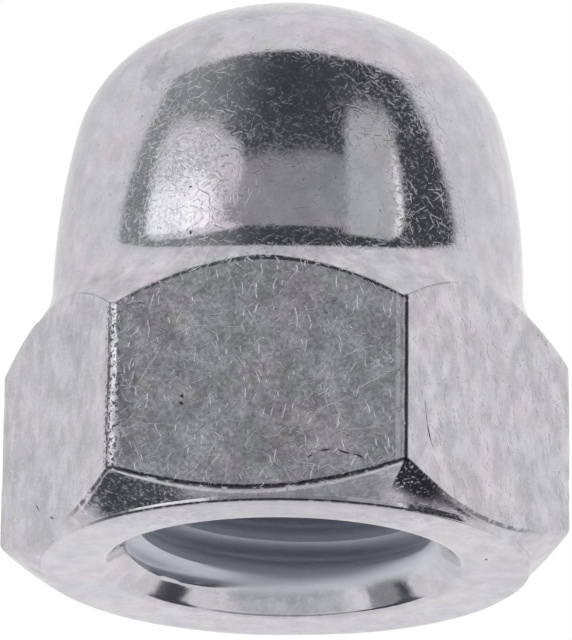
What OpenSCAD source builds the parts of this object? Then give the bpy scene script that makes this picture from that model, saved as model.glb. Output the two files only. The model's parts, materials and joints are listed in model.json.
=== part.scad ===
// Cap nut: a hexagon nut closed by a high dome, made in one piece from steel,
// with a blind threaded hole that opens at the bearing face.
//
// Frame: Z is the nut's axis and points from the open end to the dome. Z = 0
// is the bearing face, and two of the hexagon's flats face -Y and +Y. Lengths
// are in millimetres and angles in degrees.
//
// The nut is one half section turned round the axis, and then cut to the
// hexagon, whose flats leave the two chamfers as the arched edges of a nut. A
// low upright land runs round the bearing face, under the bottom chamfer. The
// hole's wall stands at the thread's minor diameter.

/* [Hexagon] */
// Width across the hexagon's flats
across_flats = 21; // [18:0.5:30]
// Height at which the top chamfer, carried on, would meet the dome's side
hex_height = 11; // [8:0.05:13]
// Slope of the top chamfer, measured from the bearing face
top_chamfer_angle = 49.5; // [30:0.5:55]
// Slope of the bottom chamfer, measured from the bearing face
bottom_chamfer_angle = 33; // [20:1:50]
// How far the bearing face's edge stands in from the flats
face_inset = 0.15; // [0.1:0.05:1]
// Height of the land between the bearing face and the bottom chamfer
face_land = 0.2; // [0.05:0.05:0.4]

/* [Dome] */
// Overall height, from the bearing face to the top of the dome
nut_height = 24.8; // [22:0.1:30]
// How far the dome's side stands in from the flats
dome_inset = 0.45; // [0.2:0.05:1.2]
// How much larger the crown's radius is than the dome's
crown_extra = 1.6; // [0.2:0.1:5]
// Radius of the shoulder between the crown and the side
shoulder_radius = 6; // [3:0.1:7.5]
// Radius of the slow curve up the dome's side
side_radius = 29; // [24:1:80]
// Radius of the hollow fillet at the dome's foot
foot_radius = 3.2; // [1:0.1:4]

/* [Hole] */
// Minor diameter of the thread, which is the diameter of the hole
thread_minor_diameter = 12.38; // [8:0.01:13.4]
// Depth of the countersink at the mouth of the hole
countersink_depth = 1.4; // [0.8:0.1:1.6]
// Angle between opposite sides of the countersink
countersink_angle = 90; // [60:5:100]
// Radius of the rounded lip between the countersink and the bearing face
lip_radius = 0.6; // [0.1:0.05:1]
// Metal left between the tip of the hole and the top of the dome
crown_wall = 3.1; // [2:0.1:6]
// Angle of the drill point that ends the hole
drill_point_angle = 118; // [90:1:140]

/* [Hidden] */

// Number of sides that stand for a full turn
$fn = 144;
// Largest angle between two points of a round stretch of the outline
arc_step = 4;
// How far a cutting shape runs past the surface that it cuts
overcut = 1;
// Number of sides of the bar that the nut is cut to
hex_sides = 6;
// Plated steel
plated_steel = [0.78, 0.79, 0.81];

// Hexagon
corner_radius = across_flats / 2 / cos(180 / hex_sides);
blank_radius = corner_radius + overcut;
face_radius = across_flats / 2 - face_inset;
blank_bottom_z = face_land + (blank_radius - face_radius) * tan(bottom_chamfer_angle);

// Dome's foot, where a hollow fillet joins the top chamfer to the side
dome_radius = across_flats / 2 - dome_inset;
blank_top_z = hex_height - (blank_radius - dome_radius) * tan(top_chamfer_angle);
waist_z = hex_height + foot_radius * tan((90 - top_chamfer_angle) / 2);
foot_centre = [dome_radius + foot_radius, waist_z];

// Dome above the waist: three arcs, each tangent to the next
crown_radius = dome_radius + crown_extra;
crown_centre = [0, nut_height - crown_radius];
side_centre = [dome_radius - side_radius, waist_z];
shoulder_centre = upper_meeting(
    side_centre, side_radius - shoulder_radius,
    crown_centre, crown_radius - shoulder_radius);
side_end = direction(side_centre, shoulder_centre);
crown_start = direction(crown_centre, shoulder_centre);

// Hole, from the lip to the tip
hole_radius = thread_minor_diameter / 2;
flare = countersink_angle / 2;
mouth_radius = hole_radius + countersink_depth * tan(flare);
lip_centre = [mouth_radius + lip_radius * tan((90 - flare) / 2), lip_radius];
tip_z = nut_height - crown_wall;
hole_depth = tip_z - hole_radius / tan(drill_point_angle / 2);

// Direction in degrees from one point to another
function direction(from, to) = atan2(to.y - from.y, to.x - from.x);

// Upper of the two points at radius r1 from c1 and radius r2 from c2
function upper_meeting(c1, r1, c2, r2) =
    let (
        gap = norm(c2 - c1),
        along = (r1 * r1 - r2 * r2 + gap * gap) / (2 * gap),
        across = sqrt(r1 * r1 - along * along),
        line = (c2 - c1) / gap
    )
    c1 + along * line + across * [-line.y, line.x];

// Points along an arc. A first of 1 leaves out the point where it starts,
// because the stretch before it ends there.
function arc(centre, radius, from, to, first = 1) =
    let (steps = ceil(abs(to - from) / arc_step))
    [
        for (i = [first:1:steps])
            let (a = from + (to - from) * i / steps)
            centre + radius * [cos(a), sin(a)]
    ];

// Half outline of the turned nut, from the bearing face to the dome's top
module outer_outline() {
    polygon(concat(
        [
            [0, 0],
            [face_radius, 0],
            [face_radius, face_land],
            [blank_radius, blank_bottom_z],
            [blank_radius, blank_top_z]
        ],
        arc(foot_centre, foot_radius, 270 - top_chamfer_angle, 180, first = 0),
        arc(side_centre, side_radius, 0, side_end),
        arc(shoulder_centre, shoulder_radius, side_end, crown_start),
        arc(crown_centre, crown_radius, crown_start, 90)
    ));
}

// Half outline of the hole: rounded lip, countersink, wall and drill point
module hole_outline() {
    polygon(concat(
        [[0, -overcut], [lip_centre.x, -overcut]],
        arc(lip_centre, lip_radius, 270, 180 + flare, first = 0),
        [
            [hole_radius, countersink_depth],
            [hole_radius, hole_depth],
            [0, tip_z]
        ]
    ));
}

// Turned nut, before the hexagon is cut
module turned_blank() {
    rotate_extrude()
        difference() {
            outer_outline();
            hole_outline();
        }
}

// Hexagon bar with corners on the X axis, longer than the nut at both ends
module hexagon_bar() {
    translate([0, 0, -overcut])
        cylinder(h = nut_height + 2 * overcut, r = corner_radius, $fn = hex_sides);
}

// The whole nut
module cap_nut() {
    color(plated_steel)
        intersection() {
            turned_blank();
            hexagon_bar();
        }
}

cap_nut();
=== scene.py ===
"""The looks of a high domed cap nut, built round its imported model.

The nut is one piece of zinc plated steel. It is drawn as one closed mesh: a
hexagon bar and a turned blank, whose lesser radius is the outside, and a
countersunk hole with a helical thread, which is the inside.

Lengths are in metres, and in millimetres where a comment says so. Z is the
nut's axis and points from the open end to the dome, Z = 0 is the bearing face,
and the front flat faces -Y.
"""

from __future__ import annotations

import itertools
import json
import logging
import math
from dataclasses import dataclass
from enum import Enum
from functools import partial, reduce

import bmesh
import bpy
import numpy as np
from mathutils import Matrix, Vector


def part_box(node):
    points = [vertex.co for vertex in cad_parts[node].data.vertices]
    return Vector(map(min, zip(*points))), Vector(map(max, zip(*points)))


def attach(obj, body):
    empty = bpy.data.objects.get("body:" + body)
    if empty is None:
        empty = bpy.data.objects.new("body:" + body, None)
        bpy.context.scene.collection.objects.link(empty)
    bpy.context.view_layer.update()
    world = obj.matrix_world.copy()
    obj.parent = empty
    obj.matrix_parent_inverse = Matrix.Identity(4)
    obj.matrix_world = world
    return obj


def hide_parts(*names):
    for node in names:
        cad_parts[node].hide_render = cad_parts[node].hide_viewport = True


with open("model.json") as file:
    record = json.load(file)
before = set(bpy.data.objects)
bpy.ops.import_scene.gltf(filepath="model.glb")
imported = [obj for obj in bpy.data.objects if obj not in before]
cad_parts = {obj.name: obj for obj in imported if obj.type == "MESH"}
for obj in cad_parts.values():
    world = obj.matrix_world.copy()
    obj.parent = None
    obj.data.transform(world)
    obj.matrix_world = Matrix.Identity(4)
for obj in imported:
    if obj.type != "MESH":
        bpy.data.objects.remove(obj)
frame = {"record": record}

Socket = bpy.types.NodeSocket
Triple = tuple[float, float, float]
Colour = Triple

MM = 0.001
CORNERS = 6
NODE = "cap_nut"
BODY = "root"
GAPS = "edge_gaps"
LOG = logging.getLogger("cap_nut")


# ---------------------------------------------------------------------------
# Shared arithmetic
# ---------------------------------------------------------------------------


def eased(share: np.ndarray) -> np.ndarray:
    """Gives the smoothstep of shares from 0 to 1, which is 3 s^2 - 2 s^3."""
    return share * share * (3.0 - 2.0 * share)


def smooth_noise(points: np.ndarray, cell: float, seed: int) -> np.ndarray:
    """Gives a smooth random value from -1 to 1 for each point.

    Each corner of a lattice of cubes has a value hashed from its whole-number
    place, and a point blends its cube's eight corners by smoothstep weights.

    Args:
        points: Places, with x, y and z on the last axis.
        cell: Side of a cube.
        seed: Number that picks the lattice's values.

    Returns:
        One value for each point.
    """
    place = points / cell
    base = np.floor(place).astype(np.int64)
    part = eased(place - base)
    total = np.zeros(points.shape[:-1])
    for corner in itertools.product((0, 1), repeat=3):
        key = base + np.array(corner)
        mixed = key[..., 0] * 73856093 ^ key[..., 1] * 19349663 ^ key[..., 2] * 83492791
        mixed = (mixed ^ (seed * 40503)) & 0xFFFFFFFF
        mixed = ((mixed ^ (mixed >> 13)) * 1274126177) & 0xFFFFFFFF
        value = ((mixed ^ (mixed >> 16)) & 0xFFFF) / 32767.5 - 1.0
        weight = np.where(corner, part, 1.0 - part).prod(axis=-1)
        total += weight * value
    return total


def soft_lesser(first: np.ndarray, second: np.ndarray, softness: float) -> np.ndarray:
    """Gives the lesser of two values, with the crease between them rounded.

    Where the two differ by less than the softness, the square of what is left
    of it, over four times the softness, is taken off the lesser one.

    Args:
        first: One set of values.
        second: The other set of values.
        softness: Difference at which the rounding starts.

    Returns:
        The rounded lesser values.
    """
    near = np.maximum(softness - np.abs(first - second), 0.0)
    return np.minimum(first, second) - near * near / (4.0 * softness)


def between(start: np.ndarray, end: np.ndarray, count: int, first: int = 1) -> np.ndarray:
    """Gives evenly spaced rows from one row of values to another.

    Args:
        start: Values that row 0 would have.
        end: Values of the last row.
        count: Number of steps.
        first: Row to begin with, 1 to leave out the start.

    Returns:
        An array with one row a step and one column a value.
    """
    share = np.arange(first, count + 1)[:, None] / count
    return start[None, :] * (1.0 - share) + end[None, :] * share


def on_rings(radii: np.ndarray, heights: np.ndarray, angles: np.ndarray) -> np.ndarray:
    """Turns radii, heights and angles into points."""
    return np.stack([radii * np.cos(angles), radii * np.sin(angles), heights], axis=-1)


# ---------------------------------------------------------------------------
# The nut
# ---------------------------------------------------------------------------


@dataclass(frozen=True)
class NutSizes:
    """Sizes of the nut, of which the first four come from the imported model."""

    corner_radius: float
    flat_radius: float
    height: float
    hole_radius: float
    hex_height: float = 11.0 * MM
    top_slope: float = math.radians(49.5)
    bottom_slope: float = math.radians(33.0)
    face_inset: float = 0.15 * MM
    face_land: float = 0.2 * MM
    dome_inset: float = 0.45 * MM
    crown_extra: float = 1.6 * MM
    shoulder_radius: float = 6.0 * MM
    side_radius: float = 29.0 * MM
    foot_radius: float = 3.2 * MM
    countersink_depth: float = 1.4 * MM
    lip_radius: float = 0.6 * MM
    crown_wall: float = 3.1 * MM
    drill_point: float = math.radians(118.0)
    pitch: float = 1.5 * MM
    thread_depth: float = 0.54127 * pitch

    @classmethod
    def from_frame(cls) -> NutSizes:
        """Takes the hexagon and height from the node's box, the hole from its mount.

        Returns:
            The sizes.
        """
        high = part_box(NODE)[1]
        mounts = {mount["name"]: mount for mount in frame["record"]["mounts"]}
        hole = mounts["thread"]["dims"]["r_mm"] * MM
        return cls(high.x, high.y, high.z, hole)

    @property
    def face_radius(self) -> float:
        """Radius of the bearing face's edge."""
        return self.flat_radius - self.face_inset

    @property
    def dome_radius(self) -> float:
        """Radius of the dome at its narrow foot."""
        return self.flat_radius - self.dome_inset

    @property
    def waist_height(self) -> float:
        """Height of the dome's narrow foot."""
        turn = math.pi / 2 - self.top_slope
        return self.hex_height + self.foot_radius * math.tan(turn / 2)

    @property
    def mouth_radius(self) -> float:
        """Radius at which the countersink would meet the bearing face."""
        return self.hole_radius + self.countersink_depth

    @property
    def lip_centre(self) -> float:
        """Radius of the centre of the rounded lip."""
        return self.mouth_radius + self.lip_radius * math.tan(math.pi / 8)

    @property
    def tip_height(self) -> float:
        """Height of the drill point's tip."""
        return self.height - self.crown_wall

    @property
    def hole_depth(self) -> float:
        """Height at which the drill point's cone begins."""
        return self.tip_height - self.hole_radius / math.tan(self.drill_point / 2)


@dataclass(frozen=True)
class Wear:
    """How far the nut's edges are rounded, and how uneven its forging is.

    The corners' values go round from the corner on +X, anticlockwise seen from
    the dome. The front flat lies between the fifth and the sixth. A drift is how
    far a turned form is off centre, along X and Y.
    """

    corner_roundings_mm: tuple[float, ...] = (0.3, 0.25, 0.28, 0.3, 0.55, 0.36)
    corner_nicks_mm: tuple[float, ...] = (0.03, 0.02, 0.03, 0.03, 0.05, 0.04)
    nick_reach: float = 0.3 * MM
    nick_cell: float = 0.5 * MM
    nick_fade: float = 0.9 * MM
    nick_share: float = 0.35
    nick_swing: float = 0.8
    nick_seed: int = 5
    rim_rounding: float = 0.1 * MM
    bottom_softness: float = 0.3 * MM
    top_softness: float = 0.16 * MM
    land_drift: tuple[float, float] = (0.05 * MM, 0.2 * MM)
    bottom_drift: tuple[float, float] = (-0.08 * MM, 0.26 * MM)
    top_drift: tuple[float, float] = (0.05 * MM, 0.12 * MM)
    dome_drift: tuple[float, float] = (0.1 * MM, 0.1 * MM)
    full_corner: float = 0.2 * MM
    full_spread: float = 0.35


@dataclass(frozen=True)
class Grid:
    """Numbers of steps in the mesh, along each named stretch."""

    side: int = 64
    face: int = 4
    rim: int = 5
    land: int = 2
    chamfer: int = 6
    edge: int = 7
    flat: int = 38
    turn: int = 14
    dome_side: int = 14
    shoulder: int = 16
    crown: int = 14
    inner_face: int = 3
    lip: int = 6
    countersink: int = 4
    pitch: int = 18
    plain: int = 2
    tip: int = 6


class NutMesh:
    """The nut's surface, as rings of points that share a set of columns.

    A thread's ridge and flank are shares of its pitch.
    """

    RING_RADIUS = 8.9 * MM
    GATHER = 0.78
    BELOW_WAIST = 0.25 * MM
    LEAN_RATE = 4.0
    THREAD_START = 0.56 * MM
    THREAD_PHASE = 0.11
    FIRST_GROOVE = 0.95 * MM
    FIRST_FADE = 0.3 * MM
    CREASE = 0.32 * MM
    HALF_RIDGE = 0.125
    FLANK = 0.3125
    ROUND_SHARE = 0.35
    PLAIN_END = 0.6 * MM
    LAST_GROOVE = 0.9 * MM
    RUNOUT_TURNS = 2.5
    FAR = 9.0
    LEAST_STEP = 0.01 * MM

    def __init__(self, sizes: NutSizes, wear: Wear) -> None:
        """Sets out the columns.

        Args:
            sizes: The nut's sizes.
            wear: Roundings and unevenness.
        """
        self.sizes = sizes
        self.wear = wear
        self.grid = Grid()
        self.angles, self.bar, self.turn = self._columns()
        self.inner_angles = self.angles[::2]
        self.level = np.ones_like(self.angles)
        self.inner_level = np.ones_like(self.inner_angles)

    def _columns(self) -> tuple[np.ndarray, np.ndarray, np.ndarray]:
        """Places the columns round the nut and finds the bar's radius at each.

        Along a flat the columns lie at half the flat times s + g sin(pi s) / pi,
        with s in even steps from -1 to 1, so they gather at the corners. A flat's
        radius is its distance over the cosine of the angle from its middle. A
        corner is rounded by a circle that touches both its flats.

        Returns:
            The columns' angles, the bar's radii and the nearest corners' numbers.
        """
        step = np.arange(self.grid.side) / self.grid.side * 2.0 - 1.0
        half_side = self.sizes.corner_radius / 2.0
        along = half_side * (step + self.GATHER * np.sin(np.pi * step) / np.pi)
        offset = np.arctan2(along, self.sizes.flat_radius)
        middles = np.radians(np.arange(CORNERS) * 60.0 + 30.0)
        angles = (middles[:, None] + offset[None, :]).ravel()
        bar = np.tile(self.sizes.flat_radius / np.cos(offset), CORNERS)
        turn = ((angles + np.pi / 6) // (np.pi / 3)).astype(int)
        from_corner = angles - turn * np.pi / 3
        rounding = np.array(self.wear.corner_roundings_mm)[turn % CORNERS] * MM
        centre = self.sizes.corner_radius - rounding / math.cos(math.pi / 6)
        reach = np.square(rounding) - np.square(centre * np.sin(from_corner))
        round_bar = centre * np.cos(from_corner) + np.sqrt(np.maximum(reach, 0.0))
        beside = np.abs(bar * np.sin(from_corner))
        within = (beside < rounding / 2.0) & (reach > 0.0)
        return angles, np.where(within, np.minimum(bar, round_bar), bar), turn

    def _drift(self, shift: tuple[float, float]) -> np.ndarray:
        """Gives how far a turned form that is off centre stands out at each column."""
        return shift[0] * np.cos(self.angles) + shift[1] * np.sin(self.angles)

    def _fullness(self) -> np.ndarray:
        """Gives how far both chamfers stand out at the corner on -X, as a bell curve."""
        from_corner = (self.angles - np.pi) / self.wear.full_spread
        return self.wear.full_corner * np.exp(-np.square(from_corner))

    def _chamfer_foot(self) -> np.ndarray:
        """Gives the bottom chamfer's radius at each column, at the land's top edge."""
        return self.sizes.face_radius + self._drift(self.wear.bottom_drift) + self._fullness()

    def _beside(self) -> np.ndarray:
        """Gives each column's distance from the nearest corner, along the flat."""
        return np.abs(self.bar * np.sin(self.angles - self.turn * np.pi / 3))

    def _nicks(self, radii: np.ndarray, heights: np.ndarray) -> np.ndarray:
        """Gives how deep the worn corners are nicked, by noise under a bell curve.

        The nicks fade out where the turning has cut the bar away.

        Args:
            radii: Radii of the bar's rows.
            heights: Heights of the bar's rows.

        Returns:
            The depths.
        """
        wear = self.wear
        points = on_rings(radii, heights, self.angles)
        noise = smooth_noise(points, wear.nick_cell, wear.nick_seed)
        bell = np.exp(-np.square(self._beside() / wear.nick_reach))
        depth = np.array(wear.corner_nicks_mm)[self.turn % CORNERS] * MM
        whole = np.clip(1.0 - (self.bar - radii) / wear.nick_fade, 0.0, 1.0)
        chipped = np.clip(wear.nick_share + wear.nick_swing * noise, 0.0, 1.0)
        return depth * bell * whole * chipped

    def _bottom_turning(self, height: np.ndarray) -> np.ndarray:
        """Gives the radius of the land, or of the chamfer above where that is greater.

        The chamfer's radius grows evenly with height, from the land's top edge.

        Args:
            height: Heights, with one column a column of the nut.

        Returns:
            The radii.
        """
        size = self.sizes
        land = size.face_radius + self._drift(self.wear.land_drift)
        rise = (height - size.face_land) / math.tan(size.bottom_slope)
        return np.maximum(land, self._chamfer_foot() + rise)

    def _top_turning(self, height: np.ndarray) -> np.ndarray:
        """Gives the radius of the top chamfer, or of the hollow fillet above it.

        The chamfer's radius falls evenly with height. The fillet's is its
        centre's, less the third side of a right triangle whose longest side is
        the fillet's radius, and whose other side is the height below the waist.

        Args:
            height: Heights below the waist, with one column a column of the nut.

        Returns:
            The radii.
        """
        size = self.sizes
        cone = size.dome_radius + (size.hex_height - height) / math.tan(size.top_slope)
        below = size.waist_height - height
        third = np.sqrt(np.maximum(size.foot_radius**2 - below**2, 0.0))
        fillet = size.dome_radius + size.foot_radius - third
        join = size.foot_radius * math.cos(size.top_slope)
        stand = self._drift(self.wear.top_drift)
        return np.where(below > join, cone + self._fullness(), fillet) + stand

    def _dome_rows(self) -> tuple[np.ndarray, np.ndarray]:
        """Gives the dome's radii and heights above the waist, as three tangent arcs.

        The shoulder's centre is as far from the side's centre, and from the
        crown's, as their radii are greater than its own.

        Returns:
            Two arrays with one row a ring.
        """
        size, grid = self.sizes, self.grid
        crown_radius = size.dome_radius + size.crown_extra
        crown = np.array([0.0, size.height - crown_radius])
        side = np.array([size.dome_radius - size.side_radius, size.waist_height])
        side_reach = size.side_radius - size.shoulder_radius
        crown_reach = crown_radius - size.shoulder_radius
        gap = np.linalg.norm(crown - side)
        line = (crown - side) / gap
        part = (side_reach**2 - crown_reach**2 + gap**2) / (2.0 * gap)
        aside = math.sqrt(side_reach**2 - part**2)
        shoulder = side + part * line + aside * np.array([-line[1], line[0]])
        first = math.atan2(*(shoulder - side)[::-1])
        second = math.atan2(*(shoulder - crown)[::-1])
        arcs = (
            (side, size.side_radius, 0.0, first, grid.dome_side),
            (shoulder, size.shoulder_radius, first, second, grid.shoulder),
            (crown, crown_radius, second, math.pi / 2, grid.crown),
        )
        rows = []
        for centre, radius, start, end, count in arcs:
            angle = start + (end - start) * np.arange(1, count + 1) / count
            rows.append(centre + radius * np.stack([np.cos(angle), np.sin(angle)], axis=1))
        outline = np.concatenate(rows)
        return outline[:, :1], outline[:, 1:]

    def _arches(self) -> tuple[np.ndarray, np.ndarray]:
        """Finds the heights at which the bar meets the bottom and the top turning.

        Returns:
            Two heights for each column.
        """
        size = self.sizes
        rise = (self.bar - self._chamfer_foot()) * math.tan(size.bottom_slope)
        fall = self.bar - size.dome_radius - self._drift(self.wear.top_drift)
        high = size.hex_height - (fall - self._fullness()) * math.tan(size.top_slope)
        hollow = high > size.waist_height - size.foot_radius * math.cos(size.top_slope)
        reach = size.foot_radius - np.clip(fall, 0.0, size.foot_radius)
        sink = np.sqrt(np.maximum(size.foot_radius**2 - reach**2, 0.0))
        return size.face_land + rise, np.where(hollow, size.waist_height - sink, high)

    def _lean(self, dome: np.ndarray, heights: np.ndarray) -> None:
        """Shifts the dome's rings off centre, from the fillet's shift to its own.

        Args:
            dome: The dome's points, which are moved.
            heights: Height of each ring.
        """
        size = self.sizes
        rise = (heights - size.waist_height) / (size.height - size.waist_height)
        share = np.clip(self.LEAN_RATE * rise, 0.0, 1.0)[:, None]
        foot = np.array(self.wear.top_drift)
        crown = np.array(self.wear.dome_drift)
        dome[..., :2] += (foot * (1.0 - share) + crown * share)[:, None, :]

    def outside(self) -> tuple[np.ndarray, np.ndarray]:
        """Makes the outside, from a ring on the bearing face to the dome's top.

        Each column follows the lesser of the bar and the turned blank. Its rows
        close up where the two cross, which is each flat's arched edge.

        Returns:
            Points with a row for each ring and a column for each angle, and for
            each point three distances in millimetres: up from the flat's bottom
            arch, down from its top arch, and along the flat from its corner.
        """
        size, wear, grid, level = self.sizes, self.wear, self.grid, self.level
        low, high = self._arches()
        base = soft_lesser(self.bar, self._bottom_turning(0.0 * level), wear.bottom_softness)
        arc = between(0.0 * level, math.pi / 2 * level, grid.rim)
        rim_start = base - wear.rim_rounding
        ring_radii = between(self.RING_RADIUS * level, rim_start, grid.face, first=0)
        rim_radii = base - wear.rim_rounding * (1.0 - np.sin(arc))
        rim_heights = wear.rim_rounding * (1.0 - np.cos(arc))
        rise = (base - self._chamfer_foot()) * math.tan(size.bottom_slope)
        step = np.maximum(size.face_land + rise, rim_heights[-1] + self.LEAST_STEP)
        low_band = wear.bottom_softness * math.tan(size.bottom_slope)
        high_band = wear.top_softness * math.tan(size.top_slope)
        start = np.maximum(low - low_band, step + self.LEAST_STEP)
        end = np.minimum(high + high_band, size.waist_height - self.BELOW_WAIST)
        heights = np.concatenate(
            [
                between(rim_heights[-1], step, grid.land),
                between(step, start, grid.chamfer),
                between(start, low + low_band, grid.edge),
                between(low + low_band, high - high_band, grid.flat),
                between(high - high_band, end, grid.edge),
                between(end, size.waist_height * level, grid.turn),
            ]
        )
        radii = soft_lesser(self.bar[None, :], self._bottom_turning(heights), wear.bottom_softness)
        radii = soft_lesser(radii, self._top_turning(heights), wear.top_softness)
        radii = radii - self._nicks(radii, heights)
        dome_radii, dome_heights = self._dome_rows()
        all_radii = np.concatenate([ring_radii, rim_radii, radii, dome_radii * level])
        all_heights = np.concatenate(
            [np.zeros_like(ring_radii), rim_heights, heights, dome_heights * level]
        )
        points = on_rings(all_radii, all_heights, self.angles)
        self._lean(points[-len(dome_heights) :], dome_heights[:, 0])
        beside = self._beside() * np.ones_like(all_heights)
        gaps = np.stack([all_heights - low, high - all_heights, beside], axis=-1) / MM
        return points, np.clip(gaps, -self.FAR, self.FAR)

    def inside(self) -> np.ndarray:
        """Makes the hole's lip and countersink, down to where the thread begins.

        Returns:
            Points with a row for each ring, on every other column.
        """
        size, grid, level = self.sizes, self.grid, self.inner_level
        arc = between(0.0 * level, math.pi / 4 * level, grid.lip, first=0)
        lip_radii = size.lip_centre - size.lip_radius * np.sin(arc)
        lip_heights = size.lip_radius * (1.0 - np.cos(arc))
        cone_heights = between(lip_heights[-1], self.THREAD_START * level, grid.countersink)
        cone_radii = size.mouth_radius - cone_heights
        lip_start = size.lip_centre * level
        ring = between(self.RING_RADIUS * level, lip_start, grid.inner_face, first=0)[:-1]
        radii = np.concatenate([ring, lip_radii, cone_radii])
        heights = np.concatenate([np.zeros_like(ring), lip_heights, cone_heights])
        return on_rings(radii, heights, self.inner_angles)

    def _thread_radius(self, angles: np.ndarray, heights: np.ndarray) -> np.ndarray:
        """Gives the thread's radius, from its phase along the helix.

        The phase is the height less the helix's height, in pitches. The ridge is
        a quarter of a pitch wide, the groove an eighth, and the flanks between
        them are nearly straight. The first groove begins a part of a turn in, and
        the last turns grow shallow where the tap ran out.

        Args:
            angles: Angles round the axis.
            heights: Heights above the bearing face.

        Returns:
            The radii.
        """
        size = self.sizes
        turns = angles / (2.0 * np.pi) - self.THREAD_PHASE
        phase = heights / size.pitch - turns
        from_ridge = np.abs(phase - np.round(phase))
        depth = np.clip((from_ridge - self.HALF_RIDGE) / self.FLANK, 0.0, 1.0)
        depth = eased(depth) * self.ROUND_SHARE + depth * (1.0 - self.ROUND_SHARE)
        middle = size.pitch * (np.floor(phase) + 0.5 + turns)
        begun = eased(np.clip((middle - self.FIRST_GROOVE) / self.FIRST_FADE, 0.0, 1.0))
        room = size.hole_depth - self.LAST_GROOVE - heights
        left = np.clip(room / (self.RUNOUT_TURNS * size.pitch), 0.0, 1.0)
        return size.hole_radius + size.thread_depth * depth * begun * left

    def thread(self) -> np.ndarray:
        """Makes the threaded wall, whose rows climb with the helix.

        Row j stands at j steps of the pitch plus the helix's height, held within
        the wall's two ends. The wall is the greater of the thread's radius and
        the countersink's, with the crease between them rounded.

        Returns:
            Points whose last column lies on the first, one pitch up.
        """
        size = self.sizes
        angles = np.append(self.inner_angles, self.angles[0] + 2.0 * np.pi)
        helix = size.pitch * (angles - angles[0]) / (2.0 * np.pi)
        top = size.hole_depth - self.PLAIN_END
        step = size.pitch / self.grid.pitch
        count = int(math.ceil((top - self.THREAD_START + size.pitch) / step))
        rows = self.THREAD_START - size.pitch + step * np.arange(count + 1)
        heights = np.clip(rows[:, None] + helix[None, :], self.THREAD_START, top)
        cone = size.mouth_radius - heights
        wall = self._thread_radius(angles, heights)
        return on_rings(-soft_lesser(-wall, -cone, self.CREASE), heights, angles)

    def tip(self) -> np.ndarray:
        """Makes the plain end of the hole and the drill point's cone.

        Returns:
            Points with a row for each ring, on every other column.
        """
        size, grid, level = self.sizes, self.grid, self.inner_level
        deep = size.hole_depth * level
        wall = between(deep - self.PLAIN_END, deep, grid.plain, first=0)
        cone = between(deep, size.tip_height * level, grid.tip)
        share = (size.tip_height - cone) / (size.tip_height - size.hole_depth)
        radii = size.hole_radius * np.concatenate([np.ones_like(wall), share])
        return on_rings(radii, np.concatenate([wall, cone]), self.inner_angles)


class MeshMaker:
    """Gathers grids of points and joins them into one closed mesh."""

    WELD = 2e-7
    SHARP = math.radians(38.0)

    def __init__(self) -> None:
        """Starts with no points."""
        self.points: list[np.ndarray] = []
        self.gaps: list[np.ndarray] = []
        self.faces: list[list[int]] = []
        self.count = 0

    def add(
        self, grid: np.ndarray, closed: bool, outward: bool, gaps: np.ndarray | None = None
    ) -> int:
        """Adds a grid, with a face for each cell.

        Args:
            grid: Points by row and column.
            closed: True where the last column joins the first.
            outward: True where the rows climb an outer face.
            gaps: Each point's distances from the edges, left out far from them.

        Returns:
            The number of the grid's first point.
        """
        rows, columns = grid.shape[:2]
        index = self.count + np.arange(rows * columns).reshape(rows, columns)
        if closed:
            index = np.concatenate([index, index[:, :1]], axis=1)
        corners = [index[:-1, :-1], index[:-1, 1:], index[1:, 1:], index[1:, :-1]]
        if not outward:
            corners.reverse()
        self.faces.extend(np.stack(corners, axis=-1).reshape(-1, 4).tolist())
        self.points.append(grid.reshape(-1, 3))
        if gaps is None:
            gaps = np.full(grid.shape, NutMesh.FAR)
        self.gaps.append(gaps.reshape(-1, 3))
        self.count += rows * columns
        return int(index[0, 0])

    def bridge(self, fine: int, coarse: int, coarse_count: int) -> None:
        """Joins a ring to one with half as many points, by three faces a step.

        Args:
            fine: First point of the ring with more points.
            coarse: First point of the other ring.
            coarse_count: Number of points in the other ring.
        """
        step = np.arange(coarse_count)
        here = coarse + step
        after = coarse + (step + 1) % coarse_count
        first = fine + 2 * step
        middle = first + 1
        last = fine + (2 * step + 2) % (2 * coarse_count)
        for corners in ((here, middle, first), (here, after, middle), (after, last, middle)):
            self.faces.extend(np.stack(corners, axis=-1).tolist())

    def build(self, name: str) -> bpy.types.Object:
        """Makes the mesh, with its doubles merged and its edges smooth.

        Args:
            name: Name of the object.

        Returns:
            The object, at the origin.
        """
        mesh = bpy.data.meshes.new(name)
        mesh.from_pydata(np.concatenate(self.points).tolist(), [], self.faces)
        layer = mesh.attributes.new(GAPS, "FLOAT_VECTOR", "POINT")
        layer.data.foreach_set("vector", np.concatenate(self.gaps).astype(np.float32).ravel())
        work = bmesh.new()
        work.from_mesh(mesh)
        bmesh.ops.remove_doubles(work, verts=work.verts, dist=self.WELD)
        bmesh.ops.recalc_face_normals(work, faces=work.faces)
        work.to_mesh(mesh)
        work.free()
        mesh.shade_smooth()
        mesh.set_sharp_from_angle(angle=self.SHARP)
        piece = bpy.data.objects.new(name, mesh)
        bpy.context.scene.collection.objects.link(piece)
        return piece


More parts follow.
